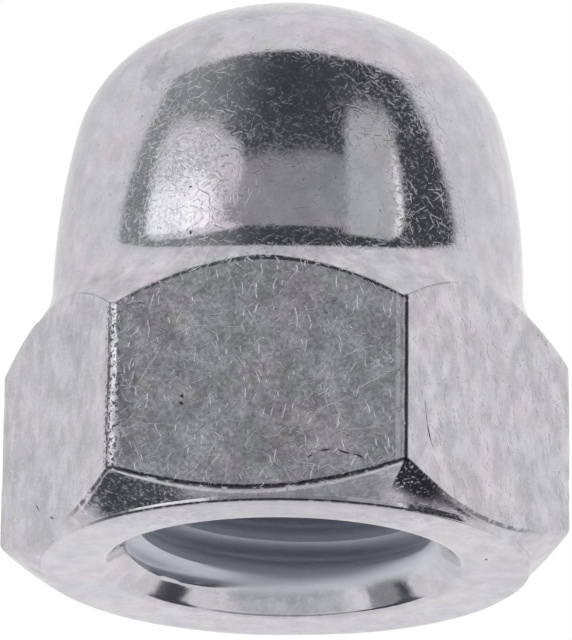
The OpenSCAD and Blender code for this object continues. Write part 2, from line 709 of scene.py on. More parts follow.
class CapNut:
    """The whole nut: its mesh, its place on the body and its finish."""

    def __init__(self, sizes: NutSizes, wear: Wear) -> None:
        """Keeps the shape that the sizes and the wear give.

        Args:
            sizes: The nut's sizes.
            wear: Roundings and unevenness.
        """
        self.shape = NutMesh(sizes, wear)

    def build(self) -> bpy.types.Object:
        """Makes the nut and puts it in place of its plain solid.

        Returns:
            The nut.
        """
        maker = MeshMaker()
        points, gaps = self.shape.outside()
        outer = maker.add(points, closed=True, outward=True, gaps=gaps)
        inner_grid = self.shape.inside()
        inner = maker.add(inner_grid, closed=True, outward=True)
        maker.bridge(outer, inner, inner_grid.shape[1])
        maker.add(self.shape.thread(), closed=False, outward=False)
        maker.add(self.shape.tip(), closed=True, outward=False)
        piece = maker.build("cap_nut_plated")
        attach(piece, BODY)
        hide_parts(NODE)
        piece.data.materials.append(ZincPlating(Finish()).build())
        return piece


# ---------------------------------------------------------------------------
# Shader nodes
# ---------------------------------------------------------------------------


class NodeSheet:
    """A node tree that is written as short calls, each giving an output socket."""

    def __init__(self, tree: bpy.types.NodeTree) -> None:
        """Keeps the tree that the nodes go into."""
        self.tree = tree

    def node(self, kind: str, **settings: object) -> bpy.types.Node:
        """Adds a node.

        Args:
            kind: The node's type.
            settings: Values for the node's own properties.

        Returns:
            The node.
        """
        made = self.tree.nodes.new(kind)
        for name, value in settings.items():
            setattr(made, name, value)
        return made

    def feed(self, socket: Socket, value: object) -> None:
        """Links an input to an output, or sets the input's value.

        Args:
            socket: The input.
            value: An output socket, or a plain value.
        """
        if isinstance(value, bpy.types.NodeSocket):
            self.tree.links.new(value, socket)
        elif isinstance(value, tuple) and socket.type == "RGBA":
            socket.default_value = (*value, 1.0)
        else:
            socket.default_value = value

    def math(self, operation: str, *values: object) -> Socket:
        """Adds a Math node.

        Args:
            operation: What the node does.
            values: The values for its inputs, in their order.

        Returns:
            The result.
        """
        made = self.node("ShaderNodeMath", operation=operation)
        for socket, value in zip(made.inputs, values):
            self.feed(socket, value)
        return made.outputs[0]

    def product(self, *values: object) -> Socket:
        """Multiplies any number of values."""
        return reduce(partial(self.math, "MULTIPLY"), values)

    def greatest(self, *values: object) -> Socket:
        """Gives the greatest of any number of values."""
        return reduce(partial(self.math, "MAXIMUM"), values)

    def total(self, *values: object) -> Socket:
        """Adds any number of values."""
        return reduce(partial(self.math, "ADD"), values)

    def vector(self, operation: str, *values: object) -> bpy.types.Node:
        """Adds a Vector Math node.

        Args:
            operation: What the node does.
            values: The values for its inputs, in their order.

        Returns:
            The node.
        """
        made = self.node("ShaderNodeVectorMath", operation=operation)
        for socket, value in zip(made.inputs, values):
            self.feed(socket, value)
        return made

    def scaled(self, vector: Socket, factor: object) -> Socket:
        """Scales a vector.

        Args:
            vector: The vector.
            factor: What each part of it is multiplied by.

        Returns:
            The result.
        """
        made = self.node("ShaderNodeVectorMath", operation="SCALE")
        self.feed(made.inputs["Vector"], vector)
        self.feed(made.inputs["Scale"], factor)
        return made.outputs[0]

    def mapped(self, place: Socket, scale: Triple) -> Socket:
        """Stretches a place with a Mapping node.

        Args:
            place: The place.
            scale: Factor along each axis.

        Returns:
            The result.
        """
        made = self.node("ShaderNodeMapping")
        self.feed(made.inputs["Vector"], place)
        made.inputs["Scale"].default_value = scale
        return made.outputs["Vector"]

    def parts(self, vector: Socket) -> tuple[Socket, Socket, Socket]:
        """Splits a vector.

        Args:
            vector: The vector.

        Returns:
            Its x, y and z.
        """
        made = self.node("ShaderNodeSeparateXYZ")
        self.feed(made.inputs[0], vector)
        return tuple(made.outputs)

    def ramp(
        self, value: Socket, low: object, high: object, start: object = 0.0, end: object = 1.0
    ) -> Socket:
        """Carries a value smoothly from one level to another, between two bounds.

        Args:
            value: The value.
            low: Bound at which the result is the start.
            high: Bound at which the result is the end.
            start: Result at the low bound.
            end: Result at the high bound.

        Returns:
            The result.
        """
        made = self.node("ShaderNodeMapRange", interpolation_type="SMOOTHSTEP", clamp=False)
        names = ("Value", "From Min", "From Max", "To Min", "To Max")
        for name, item in zip(names, (value, low, high, start, end)):
            self.feed(made.inputs[name], item)
        return made.outputs["Result"]

    def fade(self, value: Socket, full: object, gone: object) -> Socket:
        """Gives 1 at the bound where the effect is full and 0 where it is gone."""
        return self.ramp(value, full, gone, 1.0, 0.0)

    def either(self, mask: Socket, off: object, on: object) -> Socket:
        """Gives one level where a mask is 0 and another where it is 1."""
        return self.ramp(mask, 0.0, 1.0, off, on)

    def line(self, value: Socket, line: Line) -> Socket:
        """Masks a line.

        Args:
            value: Distance from the edge that the line follows.
            line: The line.

        Returns:
            The mask, which is the line's strength within the inner distance of
            the centre, and 0 beyond the outer one.
        """
        off = self.math("ABSOLUTE", self.math("SUBTRACT", value, line.centre))
        return self.product(self.fade(off, line.inner, line.outer), line.strength)

    def mix(self, share: object, first: object, second: object) -> Socket:
        """Mixes two colours.

        Args:
            share: Share of the second colour.
            first: The first colour.
            second: The second colour.

        Returns:
            The mixed colour.
        """
        made = self.node("ShaderNodeMix", data_type="RGBA")
        self.feed(made.inputs["Factor"], share)
        colours = [socket for socket in made.inputs if socket.type == "RGBA"]
        self.feed(colours[0], first)
        self.feed(colours[1], second)
        return next(socket for socket in made.outputs if socket.type == "RGBA")

    def noise(
        self, place: Socket, scale: float, detail: float = 2.0, roughness: float = 0.5
    ) -> Socket:
        """Adds a Noise Texture.

        Args:
            place: Place at which the noise is read.
            scale: Number of swells in a millimetre.
            detail: Number of finer layers.
            roughness: Strength of each finer layer against the one before.

        Returns:
            The noise's value.
        """
        made = self.node("ShaderNodeTexNoise")
        self.feed(made.inputs["Vector"], place)
        made.inputs["Scale"].default_value = scale
        made.inputs["Detail"].default_value = detail
        made.inputs["Roughness"].default_value = roughness
        return made.outputs["Fac"]

    def cells(self, place: Socket, scale: Socket) -> bpy.types.Node:
        """Adds a Voronoi Texture.

        Args:
            place: Place at which the texture is read.
            scale: Number of cells in a millimetre.

        Returns:
            The node.
        """
        made = self.node("ShaderNodeTexVoronoi")
        self.feed(made.inputs["Vector"], place)
        self.feed(made.inputs["Scale"], scale)
        return made

    def chosen(self, cells: bpy.types.Node, share: Socket) -> Socket:
        """Picks a share of a Voronoi texture's cells, by their colours.

        The pick is where the fraction left of 7.3 red and 3.1 blue is below the
        share.

        Args:
            cells: The texture.
            share: Share of the cells that are picked.

        Returns:
            The mask of those cells.
        """
        parts = self.node("ShaderNodeSeparateColor")
        self.feed(parts.inputs[0], cells.outputs["Color"])
        red = self.math("MULTIPLY", parts.outputs[0], 7.3)
        blue = self.math("MULTIPLY", parts.outputs[2], 3.1)
        return self.math("LESS_THAN", self.math("FRACT", self.math("ADD", red, blue)), share)

    def group(self, group: bpy.types.NodeTree, **inputs: object) -> Socket:
        """Places a node group.

        Args:
            group: The group.
            inputs: Values for its inputs, with _ for each space in a name.

        Returns:
            Its output.
        """
        made = self.node("ShaderNodeGroup", node_tree=group)
        for name, value in inputs.items():
            self.feed(made.inputs[name.replace("_", " ")], value)
        return made.outputs[0]


def new_group(name: str, inputs: dict[str, str]) -> tuple[NodeSheet, bpy.types.Node, Socket]:
    """Starts a node group with named inputs, which gives a mask.

    Args:
        name: Name of the group.
        inputs: Kind of socket for each input name, Float or Vector.

    Returns:
        The sheet to write on, the node that gives the inputs and the socket
        that takes the mask.
    """
    tree = bpy.data.node_groups.new(name, "ShaderNodeTree")
    for label, kind in inputs.items():
        tree.interface.new_socket(label, in_out="INPUT", socket_type=f"NodeSocket{kind}")
    tree.interface.new_socket("Mask", in_out="OUTPUT", socket_type="NodeSocketFloat")
    sheet = NodeSheet(tree)
    return sheet, sheet.node("NodeGroupInput"), sheet.node("NodeGroupOutput").inputs[0]


# ---------------------------------------------------------------------------
# Plating
# ---------------------------------------------------------------------------


FLAT_MM = 10.5


class MarkKind(Enum):
    """What a mark does to the plating."""

    BRIGHT = "bright"
    DARK = "dark"


@dataclass(frozen=True)
class Mark:
    """A scratch or a cut, as a line between two points. Lengths are in mm."""

    start: Triple
    end: Triple
    width: float
    strength: float = 1.0


@dataclass(frozen=True)
class Patch:
    """A cloud on the nut, which is full near its centre. Lengths are in mm."""

    centre: Triple
    reach: Triple


@dataclass(frozen=True)
class Stain(Patch):
    """A dull or bright cloud in the plating's colour."""

    colour: Colour
    strength: float


@dataclass(frozen=True)
class Line:
    """A line that follows an edge, at a distance from it. Lengths are in mm."""

    centre: float
    inner: float
    outer: float
    strength: float = 1.0


@dataclass(frozen=True)
class Scratches:
    """A set of scratches: cells in a mm, width and length in mm, share of cells."""

    scale: float
    width: float
    length: float
    share: float


def path(
    azimuth: float,
    places: tuple[tuple[float, float], ...],
    width: float,
    strength: float = 1.0,
) -> list[Mark]:
    """Makes a bent mark on a flat, as a chain of straight ones.

    With the flat's distance d from the axis and the azimuth a, a place that is s
    along the flat lies at x = d sin a + s cos a and y = s sin a - d cos a.

    Args:
        azimuth: Direction that the flat faces, with 0 for -Y and 90 for +X.
        places: For each point, the distance from the flat's middle towards
            greater azimuths, and the height.
        width: Width of the mark.
        strength: How clear the mark is.

    Returns:
        The marks.
    """
    sine, cosine = math.sin(math.radians(azimuth)), math.cos(math.radians(azimuth))
    points = [
        (FLAT_MM * sine + along * cosine, along * sine - FLAT_MM * cosine, height)
        for along, height in places
    ]
    return [Mark(start, end, width, strength) for start, end in itertools.pairwise(points)]


@dataclass(frozen=True)
class Finish:
    """Blue-white zinc plating: its colours, its dullness and its relief in mm."""

    cool: Colour = (0.55, 0.56, 0.588)
    warm: Colour = (0.6, 0.575, 0.6)
    green: Colour = (0.53, 0.565, 0.545)
    straw: Colour = (0.59, 0.585, 0.555)
    soil: Colour = (0.03, 0.03, 0.038)
    # Pale colour of bare scratches and worn plating, also used as a painted highlight on the front
    # flat's edges.
    bare_and_highlight: Colour = (0.86, 0.85, 0.88)
    # Painted shade where the countersink turns into the thread.
    hole_shade: Colour = (0.4, 0.42, 0.43)
    bore: Colour = (0.8, 0.83, 0.88)
    smooth: float = 0.055
    cloudy: float = 0.1
    scuffed: float = 0.38
    grainy: float = 0.2
    foggy: float = 0.1
    soiled: float = 0.25
    tapped: float = 0.5
    scratch_depth: float = 0.01
    ripple: float = 0.01
    shiver: float = 0.0022
    grit: float = 0.0006
    frost: float = 7.0 * grit


@dataclass
class Places:
    """The sockets that say where on the nut a point lies, and the shared noises.

    The place and the two that are bent from it are in mm, and so are x, y, z,
    the radius, and the distances up from a flat's bottom arch, down from its top
    arch, and along the flat from its corner. Left to bore are masks of parts of
    the nut, frosted and rubbed are masks of two patches on the dome, and the
    last four are noises, from broad to fine.
    """

    place: Socket
    bent: Socket
    uneven: Socket
    x: Socket
    y: Socket
    z: Socket
    radius: Socket
    above_low: Socket
    below_high: Socket
    beside: Socket
    left: Socket
    right: Socket
    front: Socket
    flat: Socket
    hexagon: Socket
    mouth: Socket
    bore: Socket
    frosted: Socket
    rubbed: Socket
    wave: Socket
    blotch: Socket
    fog: Socket
    grain: Socket


class ZincPlating:
    """The material of the nut."""

    MARKS: dict[MarkKind, tuple[Mark, ...]] = {
        MarkKind.DARK: (
            *path(0.0, ((2.0, 1.7), (2.6, 1.95), (3.3, 2.0), (3.9, 1.8), (4.4, 1.6)), 0.06, 0.8),
            *path(0.0, ((-3.0, 4.4), (-3.0, 4.38)), 0.09),
            *path(0.0, ((-3.05, 4.1), (-3.0, 4.08)), 0.08),
            *path(60.0, ((-4.7, 4.2), (-4.5, 3.4), (-4.2, 2.7)), 0.09, 0.6),
            *path(60.0, ((3.0, 8.7), (1.9, 7.2), (0.6, 5.3)), 0.045, 0.35),
            *path(-60.0, ((-1.8, 1.9), (-1.4, 1.6)), 0.07, 0.7),
            *path(-60.0, ((-0.1, 1.0), (0.3, 0.8)), 0.07, 0.7),
            Mark((-4.1, -9.1, 12.2), (-4.1, -9.1, 12.25), 0.11, 0.8),
            Mark((-3.0, -9.5, 11.8), (-3.0, -9.5, 11.85), 0.09, 0.8),
            Mark((-3.0, -9.4, 13.8), (-2.95, -9.4, 13.8), 0.07, 0.8),
            Mark((-7.3, -5.8, 17.9), (-7.3, -5.8, 17.8), 0.1, 0.7),
            Mark((4.3, 5.5, 0.85), (4.35, 5.95, 0.45), 0.07),
            Mark((4.35, 5.95, 0.45), (4.5, 6.3, 0.1), 0.06),
            Mark((8.6, -1.0, 0.0), (8.6, -0.9, 0.0), 0.1, 0.8),
        ),
        MarkKind.BRIGHT: (
            *path(0.0, ((-1.3, 9.9), (-1.1, 9.3), (-0.9, 8.6)), 0.05, 0.7),
            *path(0.0, ((-2.2, 6.6), (-1.9, 6.75), (-1.6, 6.3)), 0.05, 0.7),
            *path(0.0, ((-3.9, 6.6), (-4.4, 5.8), (-4.8, 5.1)), 0.06, 0.8),
            *path(0.0, ((-4.0, 7.0), (-4.5, 6.7)), 0.05, 0.8),
            *path(0.0, ((-4.8, 6.0), (-5.0, 5.6)), 0.05, 0.7),
            *path(0.0, ((2.4, 3.6), (3.8, 4.3), (5.5, 5.4)), 0.1, 0.5),
            *path(0.0, ((0.6, 2.7), (2.2, 3.8), (3.4, 4.9)), 0.09, 0.4),
            *path(0.0, ((-4.9, 2.7), (-5.1, 2.1)), 0.06, 0.6),
            Mark((-6.2, -10.2, 2.75), (-5.0, -10.5, 3.15), 0.08),
            Mark((-6.2, -10.2, 2.6), (-5.4, -10.5, 3.05), 0.06),
            Mark((-5.95, -10.4, 2.3), (-5.2, -10.5, 2.85), 0.07),
            Mark((-6.0, -10.4, 1.9), (-5.45, -10.5, 1.5), 0.07),
            Mark((-5.8, -10.5, 3.5), (-5.4, -10.5, 2.7), 0.07),
            Mark((6.4, -7.7, 13.6), (6.8, -7.3, 14.0), 0.06, 0.8),
            Mark((6.7, -7.4, 13.1), (7.2, -6.9, 13.0), 0.07, 0.8),
            Mark((6.2, -7.8, 13.0), (7.3, -6.8, 14.2), 0.06, 0.7),
            Mark((6.7, -7.4, 12.4), (7.0, -7.2, 12.8), 0.06, 0.7),
            Mark((-4.9, -8.6, 13.3), (-3.8, -9.1, 13.7), 0.06, 0.6),
        ),
    }
    STAINS: tuple[Stain, ...] = (
        Stain((-4.8, -7.4, 19.7), (0.55, 1.2, 1.2), (0.33, 0.34, 0.36), 0.45),
        Stain((-3.2, -7.8, 20.5), (1.6, 1.2, 1.0), (0.4, 0.42, 0.42), 0.4),
        Stain((-0.6, -7.0, 22.3), (0.8, 1.0, 0.5), (0.33, 0.34, 0.36), 0.5),
        Stain((0.0, -2.5, 24.4), (5.0, 4.5, 2.0), (0.53, 0.53, 0.555), 0.6),
        Stain((-8.2, -7.2, 7.4), (1.2, 1.3, 2.0), (0.46, 0.46, 0.48), 0.45),
        Stain((-7.8, -7.5, 9.2), (1.3, 1.6, 1.4), (0.46, 0.46, 0.48), 0.45),
        Stain((-10.6, -3.4, 3.6), (1.1, 1.6, 1.4), (0.47, 0.465, 0.485), 0.4),
        Stain((0.5, -10.2, 10.85), (4.8, 0.9, 0.62), (0.44, 0.44, 0.465), 0.65),
        Stain((0.5, 8.8, 0.0), (7.5, 1.8, 0.4), (0.5, 0.5, 0.52), 0.6),
        Stain((9.2, 0.8, 0.0), (2.0, 3.6, 0.4), (0.5, 0.5, 0.52), 0.5),
        # Painted shade on the hole's far wall, where the countersink turns into the thread.
        Stain((-1.5, 6.6, 0.95), (3.6, 0.9, 0.45), (0.38, 0.395, 0.4), 0.5),
        Stain((1.8, -10.5, 2.6), (0.45, 0.5, 0.4), (0.36, 0.36, 0.38), 0.6),
        Stain((2.4, -9.0, 0.0), (9.0, 2.6, 0.4), (0.45, 0.45, 0.48), 0.85),
        Stain((-2.6, -10.5, 2.8), (1.0, 0.5, 1.0), (0.6, 0.66, 0.69), 0.4),
        Stain((-5.35, -10.5, 4.5), (0.4, 0.6, 3.8), (0.36, 0.35, 0.4), 0.5),
    )
    FROSTED = Patch((-3.1, -9.2, 14.0), (2.3, 2.2, 3.1))
    RUBBED = Patch((6.6, -7.5, 13.2), (1.4, 1.4, 2.2))
    FINE = Scratches(3.1, 0.026, 0.19, 0.9)
    MIDDLE = Scratches(1.5, 0.03, 0.42, 0.85)
    LONG = Scratches(0.62, 0.03, 1.1, 0.7)
    INNER_WEAR = Line(0.26, 0.05, 0.11)
    OUTER_WEAR = Line(0.2, 0.03, 0.06, 0.7)
    # A thin dark line laid along the flat's bottom arched edge.
    LOW_DARK_LINE = Line(0.02, 0.04, 0.11, 0.85)
    HIGH_SOIL = Line(0.0, 0.02, 0.06, 0.4)
    RIM_SOIL = Line(0.06, 0.02, 0.07, 0.85)
    LEFT_SOIL = Line(0.12, 0.06, 0.14, 0.75)

    def __init__(self, finish: Finish) -> None:
        """Keeps the finish and makes the node groups.

        Args:
            finish: Colours, dullness and relief of the plating.
        """
        self.finish = finish
        self.scratches = self._scratch_group()
        self.pits = self._pit_group()
        self.cloud = self._cloud_group()

    @staticmethod
    def _scratch_group() -> bpy.types.NodeTree:
        """Makes the group that gives short scratches in all directions.

        Each Voronoi cell has a thin disc about its point, turned by the cell's
        own random colour. The surface cuts the disc along a short line.

        Returns:
            The group.
        """
        numbers = dict.fromkeys(("Scale", "Width", "Length", "Share"), "Float")
        sheet, given, result = new_group("short scratches", {"Place": "Vector", **numbers})
        get = given.outputs
        cells = sheet.cells(get["Place"], get["Scale"])
        offset = sheet.vector("SUBTRACT", get["Place"], cells.outputs["Position"]).outputs[0]
        away = sheet.vector("SUBTRACT", cells.outputs["Color"], (0.5, 0.5, 0.5)).outputs[0]
        way = sheet.vector("NORMALIZE", away).outputs[0]
        off = sheet.math("ABSOLUTE", sheet.vector("DOT_PRODUCT", offset, way).outputs["Value"])
        far = sheet.vector("LENGTH", offset).outputs["Value"]
        slim = sheet.fade(off, sheet.product(get["Width"], 0.3), get["Width"])
        short = sheet.fade(far, sheet.product(get["Length"], 0.6), get["Length"])
        sheet.feed(result, sheet.product(slim, short, sheet.chosen(cells, get["Share"])))
        return sheet.tree

    @staticmethod
    def _pit_group() -> bpy.types.NodeTree:
        """Makes the group that gives small round pits, one to a Voronoi cell.

        Returns:
            The group.
        """
        numbers = dict.fromkeys(("Scale", "Radius", "Share"), "Float")
        sheet, given, result = new_group("pits", {"Place": "Vector", **numbers})
        get = given.outputs
        cells = sheet.cells(get["Place"], get["Scale"])
        far = sheet.vector("DISTANCE", get["Place"], cells.outputs["Position"]).outputs["Value"]
        hollow = sheet.fade(far, sheet.product(get["Radius"], 0.4), get["Radius"])
        sheet.feed(result, sheet.product(hollow, sheet.chosen(cells, get["Share"])))
        return sheet.tree

    @staticmethod
    def _cloud_group() -> bpy.types.NodeTree:
        """Makes the group that masks an ellipsoid, with its edge broken by noise.

        Returns:
            The group.
        """
        vectors = dict.fromkeys(("Place", "Centre", "Reach"), "Vector")
        sheet, given, result = new_group("cloud", {**vectors, "Noise": "Float"})
        get = given.outputs
        offset = sheet.vector("SUBTRACT", get["Place"], get["Centre"]).outputs[0]
        share = sheet.vector("DIVIDE", offset, get["Reach"]).outputs[0]
        far = sheet.vector("LENGTH", share).outputs["Value"]
        sheet.feed(result, sheet.fade(sheet.total(far, get["Noise"]), 0.65, 1.15))
        return sheet.tree

    def _patch(self, sheet: NodeSheet, place: Socket, patch: Patch, noise: object) -> Socket:
        """Masks a patch.

        Args:
            sheet: The sheet to write on.
            place: Place in mm.
            patch: Where the patch lies.
            noise: What breaks its edge.

        Returns:
            The mask.
        """
        return sheet.group(
            self.cloud, Place=place, Centre=patch.centre, Reach=patch.reach, Noise=noise
        )

    def _places(self, sheet: NodeSheet) -> Places:
        """Lays out where a point lies.

        Args:
            sheet: The sheet to write on.

        Returns:
            The sockets.
        """
        metres = sheet.node("ShaderNodeTexCoord").outputs["Object"]
        place = sheet.mapped(metres, (1.0 / MM, 1.0 / MM, 1.0 / MM))
        stored = sheet.node("ShaderNodeAttribute", attribute_name=GAPS).outputs["Vector"]
        above_low, below_high, beside = sheet.parts(stored)
        x, y, z = sheet.parts(place)
        radius = sheet.math("SQRT", sheet.total(sheet.product(x, x), sheet.product(y, y)))
        sway = sheet.noise(place, 1.3, 0.0).node.outputs["Color"]
        shift = sheet.vector("SUBTRACT", sway, (0.5, 0.5, 0.5)).outputs[0]
        hexagon = sheet.ramp(radius, 10.12, 10.3)
        whole = [sheet.ramp(gap, -0.12, 0.02) for gap in (above_low, below_high)]
        return Places(
            place=place,
            bent=sheet.vector("ADD", place, sheet.scaled(shift, 0.45)).outputs[0],
            uneven=sheet.vector("ADD", place, sheet.scaled(shift, 0.2)).outputs[0],
            x=x,
            y=y,
            z=z,
            radius=radius,
            above_low=above_low,
            below_high=below_high,
            beside=beside,
            left=sheet.math("LESS_THAN", x, 0.0),
            right=sheet.math("GREATER_THAN", x, 0.0),
            front=sheet.ramp(y, -10.3, -10.42),
            flat=sheet.product(*whole, hexagon),
            hexagon=hexagon,
            mouth=sheet.product(sheet.ramp(z, 1.9, 1.5), sheet.ramp(radius, 10.1, 9.9)),
            bore=sheet.product(
                sheet.ramp(radius, 7.15, 7.05), sheet.ramp(z, 0.7, 1.3), sheet.ramp(z, 21.9, 21.8)
            ),
            frosted=self._patch(sheet, place, self.FROSTED, 0.0),
            rubbed=self._patch(sheet, place, self.RUBBED, 0.0),
            wave=sheet.noise(place, 0.5, 1.0),
            blotch=sheet.noise(place, 1.0, 4.0, 0.6),
            fog=sheet.noise(place, 2.6, 3.0, 0.65),
            grain=sheet.noise(place, 7.0, 2.0, 0.6),
        )

    def _marks(self, sheet: NodeSheet, place: Socket, kind: MarkKind) -> Socket:
        """Masks one kind of mark.

        Each mark is a slender ellipsoid about its line. A Mapping node turns it
        into a ball of radius 1, and the mask is clear inside the nearest ball.
        A fainter mark is a thinner one.

        Args:
            sheet: The sheet to write on.
            place: Place in mm, made a little uneven.
            kind: The kind of mark.

        Returns:
            The mask.
        """
        nearest: object = 9.0
        for mark in self.MARKS[kind]:
            start, end = Vector(mark.start), Vector(mark.end)
            ball = sheet.node("ShaderNodeMapping", vector_type="TEXTURE")
            sheet.feed(ball.inputs["Vector"], place)
            ball.inputs["Location"].default_value = (start + end) / 2.0
            ball.inputs["Rotation"].default_value = (end - start).to_track_quat("X", "Z").to_euler()
            half = 0.75 * (end - start).length + mark.width
            thin = mark.width * mark.strength
            ball.inputs["Scale"].default_value = (half, thin, thin)
            far = sheet.vector("LENGTH", ball.outputs[0]).outputs["Value"]
            nearest = sheet.math("MINIMUM", nearest, far)
        return sheet.fade(nearest, 0.3, 1.1)

    def _scuffs(self, sheet: NodeSheet, at: Places) -> tuple[Socket, Socket]:
        """Gives the fine scratches, which are clearest on the front flat.

        Args:
            sheet: The sheet to write on.
            at: Where the point lies.

        Returns:
            The mask for the relief and the one for the colour.
        """
        fine, middle, long = (
            sheet.group(
                self.scratches,
                Place=at.bent,
                Scale=kind.scale,
                Width=kind.width,
                Length=kind.length,
                Share=kind.share,
            )
            for kind in (self.FINE, self.MIDDLE, self.LONG)
        )
        amount = sheet.greatest(
            sheet.either(at.flat, 0.26, 0.8),
            at.front,
            sheet.product(at.rubbed, 0.5),
            sheet.product(at.frosted, 0.75),
        )
        share = sheet.product(
            sheet.ramp(at.wave, 0.38, 0.6, 0.5, 1.0),
            amount,
            sheet.either(at.mouth, 1.0, 0.12),
            sheet.ramp(at.above_low, -0.25, 0.0, 0.45, 1.0),
            sheet.either(at.bore, 1.0, 0.0),
        )
        relief = sheet.product(sheet.greatest(fine, middle), share)
        return relief, sheet.greatest(relief, sheet.product(long, share))

    def _worn_and_highlit_edges(self, sheet: NodeSheet, at: Places) -> Socket:
        """Gives the bright band along the front flat's upright edges: worn plating, and a painted
        highlight of the rounded edges, wider towards the bottom on the left.

        Args:
            sheet: The sheet to write on.
            at: Where the point lies.

        Returns:
            The mask.
        """
        ahead = sheet.product(sheet.ramp(at.y, -8.8, -9.6), at.flat)
        width = sheet.ramp(at.z, 6.5, 3.0, 0.12, 0.38)
        ragged = sheet.total(at.beside, sheet.ramp(at.fog, 0.3, 0.7, -0.12, 0.12))
        wide = sheet.fade(sheet.math("SUBTRACT", ragged, width), 0.0, 0.05)
        broken = sheet.ramp(at.fog, 0.36, 0.5, 0.1, 1.0)
        inner = sheet.product(sheet.line(at.beside, self.INNER_WEAR), at.front)
        outer = sheet.product(sheet.line(at.beside, self.OUTER_WEAR), sheet.ramp(at.z, 6.0, 4.0))
        return sheet.greatest(
            sheet.product(wide, at.left, ahead, broken),
            sheet.product(sheet.greatest(inner, outer), at.right, ahead, broken),
        )

    def _edge_darkening(self, sheet: NodeSheet, at: Places) -> Socket:
        """Gives the darkening in the arched edges, the rim and the worn corners.

        Args:
            sheet: The sheet to write on.
            at: Where the point lies.

        Returns:
            The mask.
        """
        ahead = sheet.ramp(at.y, -6.0, -8.5)
        broken = sheet.ramp(at.fog, 0.34, 0.5)
        beyond = self._beyond_right_corner(sheet, at)
        far_right = sheet.product(at.right, sheet.ramp(at.y, -1.5, -4.0), 0.7)
        # Darker along the bottom arched edge, on the front and far right.
        low = sheet.product(
            sheet.line(at.above_low, self.LOW_DARK_LINE),
            at.hexagon,
            sheet.greatest(ahead, far_right),
            broken,
        )
        high = sheet.product(sheet.line(at.below_high, self.HIGH_SOIL), ahead, broken)
        rim = sheet.product(
            sheet.line(at.z, self.RIM_SOIL), sheet.ramp(at.radius, 9.4, 9.6), ahead, broken
        )
        corner = sheet.product(
            sheet.fade(at.beside, 0.12, 0.24),
            at.flat,
            beyond,
            ahead,
            sheet.ramp(at.fog, 0.3, 0.42),
            0.9,
        )
        left = sheet.product(
            sheet.line(at.beside, self.LEFT_SOIL),
            at.left,
            sheet.either(at.front, 1.0, 0.0),
            at.flat,
            ahead,
            broken,
        )
        flecks = sheet.product(
            sheet.ramp(at.grain, 0.5, 0.6),
            sheet.fade(at.beside, 0.3, 0.55),
            at.left,
            at.flat,
            ahead,
            0.7,
        )
        return sheet.greatest(low, high, rim, corner, left, self._dark_band_by_right_corner(sheet, at, beyond), flecks)

    @staticmethod
    def _beyond_right_corner(sheet: NodeSheet, at: Places) -> Socket:
        """Masks what lies past the front flat's right corner, seen from the axis.

        The distance from the plane through the axis and the corner is
        x cos 30 + y sin 30.

        Args:
            sheet: The sheet to write on.
            at: Where the point lies.

        Returns:
            The mask.
        """
        cosine, sine = 0.866, 0.5
        past = sheet.total(sheet.product(at.x, cosine), sheet.product(at.y, sine))
        return sheet.ramp(past, -0.06, 0.04)

    @staticmethod
    def _dark_band_by_right_corner(sheet: NodeSheet, at: Places, beyond: Socket) -> Socket:
        """Gives a dark band on the chamfer and the flat beside the right corner, hugging the arched
        edge.

        Its reach above and below the arched edge shrinks away from the corner.

        Args:
            sheet: The sheet to write on.
            at: Where the point lies.
            beyond: Mask of what lies past the corner.

        Returns:
            The mask.
        """
        above = sheet.math("DIVIDE", at.above_low, sheet.ramp(at.beside, 0.0, 4.2, 0.24, 0.06))
        below = sheet.math("DIVIDE", at.above_low, sheet.ramp(at.beside, 0.0, 4.2, -0.9, -0.12))
        return sheet.product(
            sheet.fade(sheet.greatest(above, below), 0.6, 1.1),
            sheet.fade(at.beside, 1.6, 4.6),
            at.right,
            beyond,
            at.hexagon,
            sheet.ramp(at.grain, 0.3, 0.46),
            sheet.ramp(at.y, -4.5, -6.0),
        )

    @staticmethod
    def _shade(sheet: NodeSheet, at: Places) -> Socket:
        """Gives the factor by which clouds, grain and blotches shade the plating.

        Args:
            sheet: The sheet to write on.
            at: Where the point lies.

        Returns:
            The factor.
        """
        darkest = sheet.either(at.front, 0.91, 0.8)
        lightest = sheet.either(at.front, 1.06, 1.15)
        cloudy = sheet.ramp(at.blotch, 0.32, 0.68, darkest, lightest)
        busy = sheet.greatest(at.front, at.frosted)
        grainy = sheet.ramp(
            at.grain, 0.3, 0.7, sheet.either(busy, 0.96, 0.76), sheet.either(busy, 1.04, 1.22)
        )
        tall = sheet.mapped(at.place, (1.2, 1.2, 0.8))
        blotched = sheet.ramp(
            sheet.noise(tall, 1.0, 3.0, 0.6),
            0.35,
            0.65,
            sheet.either(at.hexagon, 0.96, 0.88),
            sheet.either(at.hexagon, 1.04, 1.09),
        )
        return sheet.product(cloudy, grainy, blotched)

